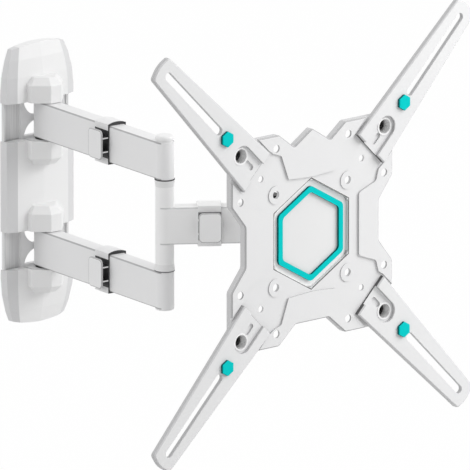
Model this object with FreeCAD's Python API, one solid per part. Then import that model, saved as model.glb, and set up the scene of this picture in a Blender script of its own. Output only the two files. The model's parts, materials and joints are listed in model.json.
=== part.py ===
import FreeCAD
import Part
import math
import os

from FreeCAD import Vector

# Lengths are millimetres and angles are degrees.
# X runs along the wall, Y points into the wall and Z is up.
# The origin is the middle of the wall plate's back face.

# Pose in which the mount is modelled
long_arm_swing = 5.8
front_arm_swing = 53.5

# Main reach
hinge_offset = 17.0
long_arm_length = 222.0
front_arm_length = 112.0
head_to_plate = 64.0

# Box-section arms
arm_level = 70.0
arm_height = 40.0
arm_width = 19.4
arm_wall = 2.0
arm_corner = 2.0
arm_heel = 9.7
arm_heel_corner = 6.3
arm_vent = 4.0

# Hinge pivots
pivot_radius = 5.0
pivot_sleeve_radius = 7.2
pivot_clearance = 0.05
ear_gap = 1.2
ear_sheet = 3.5
ear_radius = 17.0
hinge_base_half = 23.0
hinge_base_sheet = 3.0
washer_thickness = 1.0
washer_radius = 9.5
bolt_head_height = 6.0
bolt_head_flats = 16.0

# Wall plate
wall_sheet = 2.5
wall_half_width = 44.6
wall_flange = 4.2
cutout_radius = 18.5
cutout_bridge = 5.5
cutout_edge = 2.6
wall_hole_radius = 4.5
wall_hole_x = 33.0
wall_hole_z = 125.0

# Moulded wall covers
cover_half_width = 46.5
cover_crown = 152.5
cover_crown_radius = 146.0
cover_wall = 1.8
cover_side = 10.4
cover_chamfer = 11.5
cover_chamfer_rise = 4.6
cover_ridge = 1.7
cover_straight = 100.0
cover_taper = 12.5
cover_end_depth = 0.6
cover_seat_play = 0.3
arm_window_gap = 0.8
hood_half = 22.2
hood_facet = 19.3
hood_front = 20.0
hood_wall = 19.0
hood_roof_rise = 7.5
hood_roof_run = 7.0
hood_round = 1.6

# Elbow post
knuckle_radius = 10.0
rod_radius = 6.0
elbow_tube_radius = 9.9
elbow_tube_bore = 7.2
elbow_bush_height = 7.8
elbow_bush_sleeve = 16.0
elbow_bush_flare = 0.9
elbow_seam = 0.4
top_cap_neck_radius = 8.5
top_cap_neck = 2.4
top_cap_dome = 4.7
top_cap_round = 3.2
bottom_cap_height = 1.6
bottom_cap_round = 1.2

# Cable clips
clip_length = 24.5
clip_band = 1.6
clip_arch = 2.2
clip_play = 0.1
long_clip_station = 122.5
front_clip_station = 46.5
flap_stand = 7.0
flap_height = 32.0
flap_sheet = 1.8
flap_corner = 5.0
flap_round = 0.8
rib_spacing = 15.0
rib_sheet = 1.5

# Swivel head and tilt
head_sleeve_radius = 10.0
head_ear_radius = 13.0
head_web_distance = 16.0
head_sheet = 3.0
head_half_width = 17.0
tilt_distance = 32.0
tilt_cheek_radius = 9.0
tilt_pivot_radius = 4.0
tilt_play = 0.3
tilt_base_half = 36.0
tilt_head_flats = 13.0
tilt_head_height = 5.5

# Screen plate
plate_half_width = 112.0
plate_extra_height = 2.0
tab_half = 25.0
tab_drop = 16.0
lobe_start = 46.0
lobe_chamfer = 8.0
waist_inset = 19.0
waist_half = 22.0
foot_half = 23.0
foot_drop = 20.0
wing_play = 2.1
plate_sheet = 2.4
plate_emboss = 2.0
plate_rim = 6.5
plate_rim_wall = 2.2
plate_edge_round = 1.8
pad_radius = 9.8
pad_rise = 1.0
screw_hole_radius = 4.3
small_hole_radius = 3.6
vesa_small = 50.0
vesa_large = 100.0
vesa_middle = 70.0
well_radius = 60.0
well_corner = 11.0
well_depth = 4.7

# Centre panel and accent ring
panel_play = 0.8
panel_sheet = 1.2
ring_outer = 51.8
ring_inner = 45.2
ring_corner = 6.0
ring_height = 3.0

# Extension arms
ext_rise = 6.0
ext_sheet = 2.0
ext_bolt_margin = 12.0
ext_tail = 29.4
ext_root_half = 25.5
ext_reach = 162.6
ext_nose_half = 15.2
ext_nose_bulge = 4.2
ext_nose_corner = 4.0
ext_nose_round = 30.0
ext_slot_offset = 46.6
ext_slot_margin = 18.0
ext_slot_half = 4.6
ext_slot_lip = 1.6
ext_slot_lip_depth = 5.0
tongue_radius = 12.0
tongue_sink = 4.0
tongue_wall = 1.6
neck_half = 3.0
neck_length = 8.0
neck_gap = 12.4
sleeve_radius = 8.4
sleeve_bore = 7.7
sleeve_flange = 9.4
sleeve_flange_height = 0.8
sleeve_depth = 12.0
sleeve_floor = 1.6
sleeve_play = 0.2
sleeve_nut_flats = 18.6
sleeve_nut_height = 4.0
stud_radius = 3.0
stud_head = 6.5
stud_head_height = 2.0
stud_tail = 3.0
plug_offset = 32.6
plug_stem_radius = 3.8
plug_flats = 15.0
plug_height = 3.2
plug_chamfer = 0.6

# Places worked out from the sizes above
UP = Vector(0, 0, 1)
ORIGIN = Vector(0, 0, 0)


def heading(angle):
    """Unit direction on the plan that leaves the wall and leans the given angle towards +X."""
    return Vector(math.sin(math.radians(angle)), -math.cos(math.radians(angle)), 0)


hinge_point = Vector(0, -hinge_offset, 0)
elbow_point = hinge_point + heading(-long_arm_swing) * long_arm_length
head_point = elbow_point + heading(front_arm_swing) * front_arm_length
plate_point = head_point + Vector(0, -head_to_plate, 0)
arm_half = arm_height / 2
plate_half_height = plate_half_width + plate_extra_height
ear_inside = arm_half + ear_gap
ear_outside = ear_inside + ear_sheet
window_half = arm_half + arm_window_gap
ext_bolt_place = (plate_half_width - ext_bolt_margin) * math.sqrt(2)
ext_root = ext_bolt_place - ext_tail
ext_tip = ext_bolt_place + ext_reach
ext_plug_place = ext_bolt_place + plug_offset
ext_slot_start = ext_bolt_place + ext_slot_offset
ext_slot_end = ext_tip - ext_slot_margin


def save(name, shape):
    """Writes one piece of the mount to its own file."""
    shape.exportStep(os.path.join("parts", name + ".step"))


def corner_edges(points):
    """Edges of a closed outline whose corners (a, b, radius) are rounded where the radius is set."""
    edges = []
    count = len(points)
    exits = []
    entries = []
    for index in range(count):
        here = Vector(points[index][0], points[index][1], 0)
        before = Vector(points[index - 1][0], points[index - 1][1], 0)
        after = Vector(points[(index + 1) % count][0], points[(index + 1) % count][1], 0)
        radius = points[index][2]
        to_before = (before - here).normalize()
        to_after = (after - here).normalize()
        turn = to_before.getAngle(to_after)
        reach = radius / math.tan(turn / 2) if radius > 0 else 0.0
        entries.append(here + to_before * reach)
        exits.append(here + to_after * reach)
        if radius > 0:
            middle = (to_before + to_after).normalize()
            depth = radius / math.sin(turn / 2) - radius
            arc = Part.Arc(entries[index], here + middle * depth, exits[index])
            edges.append((index, arc.toShape()))
    for index in range(count):
        start = exits[index]
        end = entries[(index + 1) % count]
        if start.distanceToPoint(end) > 1e-6:
            edges.append((index + 0.5, Part.LineSegment(start, end).toShape()))
    edges.sort(key=lambda item: item[0])
    return [edge for _, edge in edges]


def outline_wire(points):
    """Closed wire on the XY plane."""
    return Part.Wire(corner_edges(points))


def upright(points, low, high):
    """Prism with its outline on the plan, between two heights."""
    face = Part.Face(outline_wire(points))
    solid = face.extrude(Vector(0, 0, high - low))
    solid.translate(Vector(0, 0, low))
    return solid


def facing(wire, near, far):
    """Prism along Y of a wire drawn as seen from the room, between two Y values."""
    solid = Part.Face(wire).extrude(Vector(0, 0, far - near))
    solid.rotate(ORIGIN, Vector(1, 0, 0), 90)
    solid.translate(Vector(0, far, 0))
    return solid


def facing_outline(points, near, far):
    """Prism along Y of a rounded outline given as (x, z, radius)."""
    return facing(outline_wire(points), near, far)


def rectangle(half_a, half_b, radius):
    """Corners of a centred rectangle with equal rounding."""
    return [(half_a, half_b, radius), (-half_a, half_b, radius),
            (-half_a, -half_b, radius), (half_a, -half_b, radius)]


def hexagon(radius, rounding):
    """Corners of a hexagon that stands on one corner."""
    corners = []
    for index in range(6):
        angle = math.radians(90 + 60 * index)
        corners.append((radius * math.cos(angle), radius * math.sin(angle), rounding))
    return corners


def nut_blank(flats, low, high):
    """Upright hexagonal prism for a nut or bolt head."""
    return upright(hexagon(flats / math.sqrt(3), 0), low, high)


def rod(radius, low, high):
    """Upright cylinder on the Z axis."""
    return Part.makeCylinder(radius, high - low, Vector(0, 0, low))


def moved(shape, place):
    """Copy of a shape set down at a place."""
    copy = shape.copy()
    copy.translate(place)
    return copy


def swung(shape, angle, place):
    """Copy of a shape drawn along -Y, turned on the plan and set down at its pivot."""
    copy = shape.copy()
    copy.rotate(ORIGIN, UP, angle)
    copy.translate(place)
    return copy


def flipped(shape):
    """Mirror image of a shape below the middle height."""
    return shape.mirror(ORIGIN, UP)


def on_plate(shape):
    """Moves a shape drawn about the screen plate's centre to its place in front of the wall."""
    return moved(shape, plate_point)


# Wall plate
def cover_half(height, inset):
    """Half width of the cover at a height, narrowing in a curve past the straight part."""
    past = max(0.0, abs(height) - cover_straight) / (cover_crown - cover_straight)
    return cover_half_width - inset - cover_taper * past * past


def crown_prism(inset, near, far):
    """Everything between the two arched ends of the wall cover."""
    top = cover_crown - inset
    radius = cover_crown_radius - inset
    rise = cover_crown - cover_crown_radius
    half = cover_half_width
    drop = math.sqrt(radius * radius - half * half)
    high = [Vector(half, rise + drop, 0), Vector(0, top, 0), Vector(-half, rise + drop, 0)]
    low = [Vector(p.x, -p.y, 0) for p in reversed(high)]
    edges = [Part.Arc(*high).toShape(), Part.LineSegment(high[2], low[0]).toShape(),
             Part.Arc(*low).toShape(), Part.LineSegment(low[2], high[0]).toShape()]
    return facing(Part.Wire(edges), near, far)


def wall_outline(inset, near, far):
    """Plan of the wall plate: straight sides, curved narrowing and arched ends."""
    steps = [0.0, 0.35, 0.6, 0.8, 1.0]
    heights = [cover_straight + (cover_crown - cover_straight) * step for step in steps]
    right = [(cover_half(z, inset), z, 0) for z in heights]
    loop = right + [(-x, z, 0) for x, z, _ in reversed(right)]
    loop = loop + [(-x, -z, 0) for x, z, _ in right] + [(x, -z, 0) for x, z, _ in reversed(right)]
    return facing_outline(loop, near, far).common(crown_prism(inset, near, far))


def arm_cutouts():
    """The round-ended openings behind both long arms, two for each arm either side of a bridge."""
    deep = wall_sheet + hinge_base_sheet
    centre = cutout_radius + cutout_bridge / 2
    reach = ear_inside - cutout_edge
    openings = []
    for level in (arm_level, -arm_level):
        window = Part.makeBox(4 * cutout_radius, deep, 2 * reach,
                              Vector(-2 * cutout_radius, -deep, level - reach))
        for side in (1, -1):
            middle = Vector(0, 0, level + side * centre)
            disc = Part.makeCylinder(cutout_radius, deep, middle, Vector(0, -1, 0))
            openings.append(disc.common(window))
    return openings


def make_wall_plate():
    """Pressed plate on the wall: turned side edges, arched ends, cut-outs and four bolt holes."""
    inset = cover_half_width - wall_half_width
    flange_inner = wall_half_width - wall_sheet
    half = [(wall_half_width, 0, 0), (wall_half_width, -wall_flange, 0), (flange_inner, -wall_flange, 0),
            (flange_inner, -wall_sheet, 0)]
    loop = half + [(-x, y, 0) for x, y, _ in reversed(half)]
    plate = upright(loop, -cover_crown, cover_crown)
    plate = plate.common(wall_outline(inset, -wall_flange, 0))
    for opening in arm_cutouts():
        plate = plate.cut(opening)
    for x in (wall_hole_x, -wall_hole_x):
        for z in (wall_hole_z, -wall_hole_z):
            plate = plate.cut(hole_along_y(x, z, wall_hole_radius, -wall_sheet, 0))
    return plate.removeSplitter()


def ear_loop(radius, back):
    """U-shaped outline on the plan: round towards the room, straight back to the wall plate."""
    front = -hinge_offset
    edges = [Part.LineSegment(Vector(radius, back, 0), Vector(-radius, back, 0)).toShape(),
             Part.LineSegment(Vector(-radius, back, 0), Vector(-radius, front, 0)).toShape(),
             Part.Arc(Vector(-radius, front, 0), Vector(0, front - radius, 0),
                      Vector(radius, front, 0)).toShape(),
             Part.LineSegment(Vector(radius, front, 0), Vector(radius, back, 0)).toShape()]
    return Part.Wire(edges)


def ear_prism(radius, back, low, high):
    """Prism of the U-shaped outline between two heights."""
    solid = Part.Face(ear_loop(radius, back)).extrude(Vector(0, 0, high - low))
    solid.translate(Vector(0, 0, low))
    return solid


def make_hinge_bracket(level):
    """Bent bracket on the wall plate with an ear above and an ear below one long arm."""
    base = Part.makeBox(2 * hinge_base_half, hinge_base_sheet, 2 * ear_outside,
                        Vector(-hinge_base_half, -wall_sheet - hinge_base_sheet, -ear_outside))
    ear = ear_prism(ear_radius, -wall_sheet, ear_inside, ear_outside)
    bracket = base.fuse([ear, flipped(ear)])
    bracket = bracket.cut(moved(rod(pivot_radius + pivot_clearance, -ear_outside, ear_outside), hinge_point))
    bracket = moved(bracket, Vector(0, 0, level))
    for opening in arm_cutouts():
        bracket = bracket.cut(opening)
    return bracket.removeSplitter()


def make_hinge_bolt(outside):
    """Hexagon bolt through two ears, drawn about the arm's middle height."""
    shank = rod(pivot_radius, -outside - bolt_head_height - 2, outside)
    return shank.fuse(nut_blank(bolt_head_flats, outside, outside + bolt_head_height)).removeSplitter()


def make_hinge_nut(outside):
    """Lock nut under the lower ear."""
    nut = nut_blank(bolt_head_flats, -outside - bolt_head_height, -outside)
    return nut.cut(rod(pivot_radius + pivot_clearance, -outside - bolt_head_height, -outside))


def make_washers(inside):
    """The two plastic washers of one pivot, seated on the inner faces of the ears."""
    ring = rod(washer_radius, inside - washer_thickness, inside)
    ring = ring.cut(rod(pivot_radius + pivot_clearance, inside - washer_thickness, inside))
    return Part.makeCompound([ring, flipped(ring)])


# Moulded wall covers
def cover_section(height, inset):
    """Cross-section wire of the cover at one height."""
    past = max(0.0, abs(height) - cover_straight) / (cover_crown - cover_straight)
    shrink = 1 - (1 - cover_end_depth) * past * past
    half = cover_half(height, inset)
    side = cover_side * shrink - inset * 0.6
    shoulder = (cover_side + cover_chamfer_rise) * shrink - inset
    ridge = (cover_side + cover_chamfer_rise + cover_ridge) * shrink - inset
    flat = half - cover_chamfer * shrink
    points = [(half, 0), (half, -side), (flat, -shoulder), (0, -ridge),
              (-flat, -shoulder), (-half, -side), (-half, 0)]
    corners = [Vector(x, y, height) for x, y in points]
    return Part.makePolygon(corners + corners[:1])


def cover_block(low, high, inset):
    """Solid of the cover between two heights, cut to the arched end."""
    heights = [low]
    if high > cover_straight:
        rise = cover_crown - cover_straight
        heights = heights + [cover_straight + rise * step for step in (0, 0.35, 0.7)]
    heights.append(high)
    block = Part.makeLoft([cover_section(z, inset) for z in heights], True, True)
    deep = 2 * (cover_side + cover_chamfer_rise + cover_ridge)
    return block.common(crown_prism(inset, -deep, 0))


def hood_plan(inset, height):
    """Outline of a hood on the plan: straight sides, two slanting facets and a flat front."""
    half = hood_half - inset
    front = hinge_offset + hood_front - inset
    slant = hinge_offset + (hood_facet - inset) * math.sqrt(2)
    right = [Vector(half, 0, height), Vector(half, half - slant, height),
             Vector(slant - front, -front, height)]
    left = [Vector(-p.x, p.y, height) for p in reversed(right)]
    return Part.makePolygon(right + left + right[:1])


def hood_block(low, inset):
    """Hood over an ear: upright facets round the hinge axis under a steep faceted roof."""
    high = low + hood_wall
    top = high + hood_roof_rise - inset
    wall = Part.Face(hood_plan(inset, low)).extrude(Vector(0, 0, high - low))
    roof = Part.makeLoft([hood_plan(inset, high), hood_plan(inset + hood_roof_run, top)], True, True)
    hood = wall.fuse(roof).removeSplitter()
    if inset > 0:
        return hood
    raised = [edge for edge in hood.Edges if edge.BoundBox.ZMax > low + 0.01]
    return hood.makeFillet(hood_round, [edge for edge in raised if edge.BoundBox.YMax < -0.01])


def wall_room():
    """Space that the wall plate and the hinge brackets take inside the covers."""
    room = [wall_outline(cover_wall, -wall_flange - cover_seat_play, 0)]
    deep = wall_sheet + hinge_base_sheet + cover_seat_play
    half = hinge_base_half + cover_seat_play
    tall = ear_outside + cover_seat_play
    for level in (arm_level, -arm_level):
        room.append(Part.makeBox(2 * half, deep, 2 * tall, Vector(-half, -deep, level - tall)))
    return room


def make_top_cover():
    """Top cover: arched end, one hood and an end wall that is open behind the hood."""
    low = arm_level + window_half
    outer = cover_block(low, cover_crown, 0).fuse(hood_block(low, 0))
    inner = cover_block(low + cover_wall, cover_crown, cover_wall).fuse(hood_block(low, cover_wall))
    return outer.cut([inner] + wall_room()).removeSplitter()


def make_middle_cover():
    """Middle cover with a hood at each end."""
    high = arm_level - window_half
    hood = hood_block(-high, 0)
    hollow = hood_block(-high, cover_wall)
    outer = cover_block(-high, high, 0).fuse([hood, flipped(hood)])
    inner = cover_block(-high + cover_wall, high - cover_wall, cover_wall).fuse([hollow, flipped(hollow)])
    return outer.cut([inner] + wall_room()).removeSplitter()


# Long arms
def arm_tube(length, heel, closed):
    """Box tube along -Y with its heel behind the pivot and a closed inner end near its far pivot."""
    outer = facing_outline(rectangle(arm_width / 2, arm_half, arm_corner), -length, heel)
    inner = facing_outline(rectangle(arm_width / 2 - arm_wall, arm_half - arm_wall, 0), -closed, heel)
    return outer.cut(inner)


def heel_plan(inset):
    """Plan outline of a long arm with a rounded heel, for keeping the heel clear of the wall."""
    half = arm_width / 2 - inset
    corner = arm_heel_corner - inset
    loop = [(half, arm_heel - inset, corner), (-half, arm_heel - inset, corner),
            (-half, -long_arm_length, 0), (half, -long_arm_length, 0)]
    return upright(loop, -arm_half, arm_half)


def make_long_arm():
    """Long arm drawn along -Y about its own middle height."""
    outer = facing_outline(rectangle(arm_width / 2, arm_half, arm_corner), -long_arm_length, arm_heel)
    inner = facing_outline(rectangle(arm_width / 2 - arm_wall, arm_half - arm_wall, 0),
                           knuckle_radius - long_arm_length, arm_heel)
    tube = outer.common(heel_plan(0)).cut(inner.common(heel_plan(arm_wall)))
    sleeve = rod(pivot_sleeve_radius, -arm_half, arm_half)
    knuckle = moved(rod(knuckle_radius, -arm_half, arm_half), Vector(0, -long_arm_length, 0))
    rod_bore = moved(rod(rod_radius + pivot_clearance, -arm_half, arm_half), Vector(0, -long_arm_length, 0))
    pin_bore = rod(pivot_radius + pivot_clearance, -arm_half, arm_half)
    vent_start = Vector(0, arm_heel - 2 * arm_wall, arm_half / 2)
    vent = Part.makeCylinder(arm_vent, 2 * arm_wall, vent_start, Vector(0, 1, 0))
    arm = tube.fuse([sleeve, knuckle]).cut(pin_bore).cut(rod_bore)
    return arm.cut([vent, flipped(vent)]).removeSplitter()


def make_top_cap():
    """Round cap on a narrow neck, on top of the elbow post."""
    dome = rod(knuckle_radius, top_cap_neck, top_cap_neck + top_cap_dome)
    rim = [edge for edge in dome.Edges if edge.BoundBox.ZMin > top_cap_neck + top_cap_dome - 0.01]
    neck = rod(top_cap_neck_radius, 0, top_cap_neck)
    return dome.makeFillet(top_cap_round, rim).fuse(neck).removeSplitter()


def make_bottom_cap():
    """Thin cap with a softened rim under the elbow post."""
    cap = rod(knuckle_radius, -bottom_cap_height, 0)
    rim = [edge for edge in cap.Edges if edge.BoundBox.ZMax < -bottom_cap_height + 0.01]
    return cap.makeFillet(bottom_cap_round, rim)


# Cable clips
def clip_loop(grow):
    """Outline round a box arm as seen along it, with an arched strap on top."""
    half = arm_width / 2 + grow
    tall = arm_half + grow
    arch = clip_arch if grow > clip_play else 0.0
    low = [Vector(half, -tall, 0), Vector(half, tall, 0), Vector(-half, tall, 0), Vector(-half, -tall, 0)]
    edges = [Part.LineSegment(low[3], low[0]).toShape(), Part.LineSegment(low[0], low[1]).toShape()]
    if arch > 0:
        edges.append(Part.Arc(low[1], Vector(0, tall + arch, 0), low[2]).toShape())
    else:
        edges.append(Part.LineSegment(low[1], low[2]).toShape())
    edges.append(Part.LineSegment(low[2], low[3]).toShape())
    return Part.Wire(edges)


def make_clip(station):
    """Band round a box arm; two ribs on one side carry a rounded flap that keeps cables in."""
    near = -station - clip_length / 2
    far = -station + clip_length / 2
    outer = facing(clip_loop(clip_play + clip_band), near, far)
    band = outer.cut(facing(clip_loop(clip_play), near, far))
    side = -arm_width / 2 - clip_play - clip_band
    face = side - flap_stand - flap_sheet
    flap = Part.makeBox(flap_sheet, clip_length, flap_height, Vector(face, near, -flap_height / 2))
    corners = [edge for edge in flap.Edges if edge.BoundBox.XLength > flap_sheet - 0.01]
    flap = flap.makeFillet(flap_corner, corners)
    rim = [edge for edge in flap.Edges if edge.BoundBox.XMax < face + 0.01]
    flap = flap.makeFillet(flap_round, rim)
    for height in (rib_spacing / 2, -rib_spacing / 2):
        rib = Part.makeBox(flap_stand, clip_length, rib_sheet,
                           Vector(side - flap_stand, near, height - rib_sheet / 2))
        band = band.fuse(rib)
    return band.fuse(flap).removeSplitter()


# Front arm
def make_front_arm():
    """Front arm drawn along -Y from the elbow, with the elbow tube and the head sleeve."""
    tube_half = arm_level - arm_half - elbow_seam - elbow_bush_height
    tube = arm_tube(front_arm_length, 0, front_arm_length)
    elbow = rod(elbow_tube_radius, -tube_half, tube_half)
    far_end = Vector(0, -front_arm_length, 0)
    sleeve = moved(rod(head_sleeve_radius, -arm_half, arm_half), far_end)
    pin_bore = moved(rod(pivot_radius + pivot_clearance, -arm_half, arm_half), far_end)
    arm = tube.fuse([elbow, sleeve])
    vent = Part.makeCylinder(arm_vent, front_arm_length / 2, ORIGIN, Vector(0, -1, 0))
    arm = arm.cut(rod(elbow_tube_bore, -tube_half, tube_half)).cut(pin_bore)
    return arm.cut(vent).removeSplitter()


def make_elbow_bush():
    """Flanged bush at the top of the elbow tube: a flared collar and a sleeve inside the tube."""
    low = arm_level - arm_half - elbow_seam - elbow_bush_height
    high = low + elbow_bush_height
    collar = Part.makeCone(elbow_tube_radius, elbow_tube_radius + elbow_bush_flare, elbow_bush_height,
                           Vector(0, 0, low))
    sleeve = rod(elbow_tube_bore - pivot_clearance, low - elbow_bush_sleeve, low)
    bore = rod(rod_radius + pivot_clearance, low - elbow_bush_sleeve, high)
    return collar.fuse(sleeve).cut(bore).removeSplitter()


# Swivel head
def make_head_bracket():
    """Fork over and under the front arm's end, with two cheeks that carry the tilt bolt."""
    web_near = -head_web_distance - head_sheet
    ear = rod(head_ear_radius, ear_inside, ear_outside)
    ear = ear.fuse(Part.makeBox(2 * head_ear_radius, head_web_distance, ear_sheet,
                                Vector(-head_ear_radius, -head_web_distance, ear_inside)))
    ear = ear.cut(rod(pivot_radius + pivot_clearance, ear_inside, ear_outside))
    web = Part.makeBox(2 * head_half_width, head_sheet, 2 * ear_outside,
                       Vector(-head_half_width, web_near, -ear_outside))
    bracket = web.fuse([ear, flipped(ear)])
    for left in (-head_half_width, head_half_width - head_sheet):
        cheek = Part.makeBox(head_sheet, tilt_distance - head_web_distance, 2 * tilt_cheek_radius,
                             Vector(left, -tilt_distance, -tilt_cheek_radius))
        eye_start = Vector(left, -tilt_distance, 0)
        eye = Part.makeCylinder(tilt_cheek_radius, head_sheet, eye_start, Vector(1, 0, 0))
        bracket = bracket.fuse(cheek.fuse(eye))
    bore = Part.makeCylinder(tilt_pivot_radius + pivot_clearance, 2 * head_half_width,
                             Vector(-head_half_width, -tilt_distance, 0), Vector(1, 0, 0))
    return bracket.cut(bore).removeSplitter()


def tilt_outside():
    """Distance from the middle to the outer face of the tilt bracket's cheeks."""
    return head_half_width + tilt_play + head_sheet


def make_tilt_bolt():
    """Bolt along X through the cheeks, with its head on the left."""
    outside = tilt_outside() + tilt_play
    shank = rod(tilt_pivot_radius, -outside, outside + tilt_head_height + 2)
    head = nut_blank(tilt_head_flats, -outside - tilt_head_height, -outside)
    bolt = shank.fuse(head).removeSplitter()
    bolt.rotate(ORIGIN, Vector(0, 1, 0), 90)
    return moved(bolt, head_point + Vector(0, -tilt_distance, 0))


def make_tilt_nut():
    """Lock nut on the right end of the tilt bolt."""
    outside = tilt_outside() + tilt_play
    nut = nut_blank(tilt_head_flats, outside, outside + tilt_head_height)
    nut = nut.cut(rod(tilt_pivot_radius + pivot_clearance, outside, outside + tilt_head_height))
    nut.rotate(ORIGIN, Vector(0, 1, 0), 90)
    return moved(nut, head_point + Vector(0, -tilt_distance, 0))


# Screen plate, drawn about its centre with its lower field at Y = 0 and the room at -Y
def well_floor_back():
    """Y of the back face of the hexagonal well's floor."""
    return well_depth + plate_sheet


def make_tilt_bracket():
    """Channel behind the plate: a base on the well's floor and two cheeks round the tilt bolt."""
    base_near = well_floor_back()
    base_far = base_near + head_sheet
    axis = head_to_plate - tilt_distance
    bracket = facing_outline(rectangle(tilt_base_half, tilt_base_half, 6), base_near, base_far)
    for left in (-tilt_outside(), tilt_outside() - head_sheet):
        cheek = Part.makeBox(head_sheet, axis - base_near, 2 * tilt_cheek_radius,
                             Vector(left, base_near, -tilt_cheek_radius))
        eye = Part.makeCylinder(tilt_cheek_radius, head_sheet, Vector(left, axis, 0), Vector(1, 0, 0))
        bracket = bracket.fuse(cheek.fuse(eye))
    bore = Part.makeCylinder(tilt_pivot_radius + pivot_clearance, 2 * tilt_outside(),
                             Vector(-tilt_outside(), axis, 0), Vector(1, 0, 0))
    return bracket.cut(bore).removeSplitter()


def plate_outline():
    """Outline of the screen plate: corner lobes, waisted sides, notches and a pointed tab on top."""
    wide = plate_half_width
    tall = plate_half_height
    waist = wide - waist_inset
    right = [(tab_half, tall - tab_drop, 3), (lobe_start, tall, 5), (wide - lobe_chamfer, tall, 3),
             (wide, tall - lobe_chamfer, 3), (wide, lobe_start, 6), (waist, waist_half, 6),
             (waist, -waist_half, 6), (wide, -lobe_start, 6), (wide, lobe_chamfer - tall, 3),
             (wide - lobe_chamfer, -tall, 3), (lobe_start, -tall, 5), (foot_half, foot_drop - tall, 4)]
    left = [(-x, z, r) for x, z, r in reversed(right)]
    return [(0, tall, 4)] + right + left


def on_diagonal(along, across, radius):
    """Outline corner at a distance along the plate's rising diagonal and a distance off it."""
    return ((along - across) / math.sqrt(2), (along + across) / math.sqrt(2), radius)


def quarter_field():
    """Outline of the pressed-in field in one corner of the plate, between wing and end panel."""
    far = 2 * plate_half_width
    wing = ext_root_half + wing_play
    small = vesa_small
    large = vesa_large
    upper = [(-1, small + 12, 0), (small - 17, small + 14, 2), (small - 7, large - 9, 3),
             (small + 4, large - 5, 3)]
    outer = [on_diagonal(ext_root + 1, wing, 2), on_diagonal(far, wing, 0),
             on_diagonal(far, -wing, 0), on_diagonal(ext_root + 1, -wing, 2)]
    lower = [(large - 7.5, small + 5.5, 5), (large - 11, small - 7, 5), (small + 15, small - 16, 4),
             (small + 15, -1, 0), (-1, -1, 0)]
    return upper + outer + lower


def make_field(near, far):
    """Pressed-in field of all four corners, as a prism along Y."""
    quarter = facing_outline(quarter_field(), near, far)
    right = quarter.fuse(flipped(quarter))
    whole = right.fuse(right.mirror(ORIGIN, Vector(1, 0, 0)))
    return whole


def screw_places():
    """Centre and radius of every plain screw hole of the plate."""
    holes = [(vesa_small, vesa_small, screw_hole_radius), (vesa_small, vesa_large, screw_hole_radius),
             (vesa_large, vesa_small, screw_hole_radius), (vesa_middle, vesa_middle, small_hole_radius)]
    return [(x * a, z * b, radius) for a, b, radius in holes for x in (1, -1) for z in (1, -1)]


def diagonal_places(distance):
    """The four points at one distance from the plate's centre along its diagonals."""
    offset = distance / math.sqrt(2)
    return [(-offset, offset), (offset, offset), (-offset, -offset), (offset, -offset)]


def hole_along_y(x, z, radius, near, far):
    """Round cutter along Y."""
    return Part.makeCylinder(radius, far - near, Vector(x, near, z), Vector(0, 1, 0))


def make_screen_plate():
    outer = outline_wire(plate_outline())
    inner = outer.makeOffset2D(-plate_rim_wall)
    block = facing(outer, -plate_emboss, plate_rim)
    rims = [edge for edge in block.Edges if edge.BoundBox.YMax < -plate_emboss + 0.01]
    block = block.makeFillet(plate_edge_round, rims)
    hollow = facing(inner, plate_sheet - plate_emboss, plate_rim)
    hollow = hollow.cut(make_field(plate_sheet - plate_emboss, plate_sheet))
    block = block.cut(hollow)
    block = block.cut(make_field(-plate_emboss, 0))
    pads = [hole_along_y(x, z, pad_radius, -pad_rise, 0)
            for x in (vesa_small, -vesa_small) for z in (vesa_small, -vesa_small)]
    well_wall = facing_outline(hexagon(well_radius + plate_sheet, well_corner), 0, well_floor_back())
    well = facing_outline(hexagon(well_radius, well_corner), -plate_emboss, well_depth)
    block = block.fuse(pads + [well_wall]).cut(well)
    for x, z, radius in screw_places():
        block = block.cut(hole_along_y(x, z, radius, -plate_emboss, plate_rim))
    for x, z in diagonal_places(ext_bolt_place):
        block = block.cut(hole_along_y(x, z, sleeve_radius + sleeve_play, -plate_emboss, plate_rim))
    return block.removeSplitter()


def make_hex_panel():
    """Thin hexagonal panel that lies on the floor of the well."""
    loop = hexagon(well_radius - panel_play, well_corner)
    return facing_outline(loop, well_depth - panel_sheet, well_depth)


def make_accent_ring():
    """Turquoise hexagonal ring that stands on the panel."""
    seat = well_depth - panel_sheet
    outer = facing_outline(hexagon(ring_outer, ring_corner), seat - ring_height, seat)
    return outer.cut(facing_outline(hexagon(ring_inner, ring_corner), seat - ring_height, seat))


# Extension arms, drawn along +X with the arm's width along Z
def ext_loop(inset):
    """Tapered outline with a square root and a blunt, slightly bowed nose."""
    root = ext_root + inset
    half = ext_root_half - inset
    shoulder = ext_tip - ext_nose_bulge - inset
    nose = ext_nose_half - inset
    corner = ext_nose_corner - inset
    return outline_wire([(root, -half, 0), (root, half, 0), (shoulder, nose, corner),
                         (ext_tip - inset, 0, ext_nose_round), (shoulder, -nose, corner)])


def slot_loop(start, end, half):
    """Round-ended slot along X between the centres of its ends."""
    edges = [Part.LineSegment(Vector(start, half, 0), Vector(end, half, 0)).toShape(),
             Part.Arc(Vector(end, half, 0), Vector(end + half, 0, 0), Vector(end, -half, 0)).toShape(),
             Part.LineSegment(Vector(end, -half, 0), Vector(start, -half, 0)).toShape(),
             Part.Arc(Vector(start, -half, 0), Vector(start - half, 0, 0), Vector(start, half, 0)).toShape()]
    return Part.Wire(edges)


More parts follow.
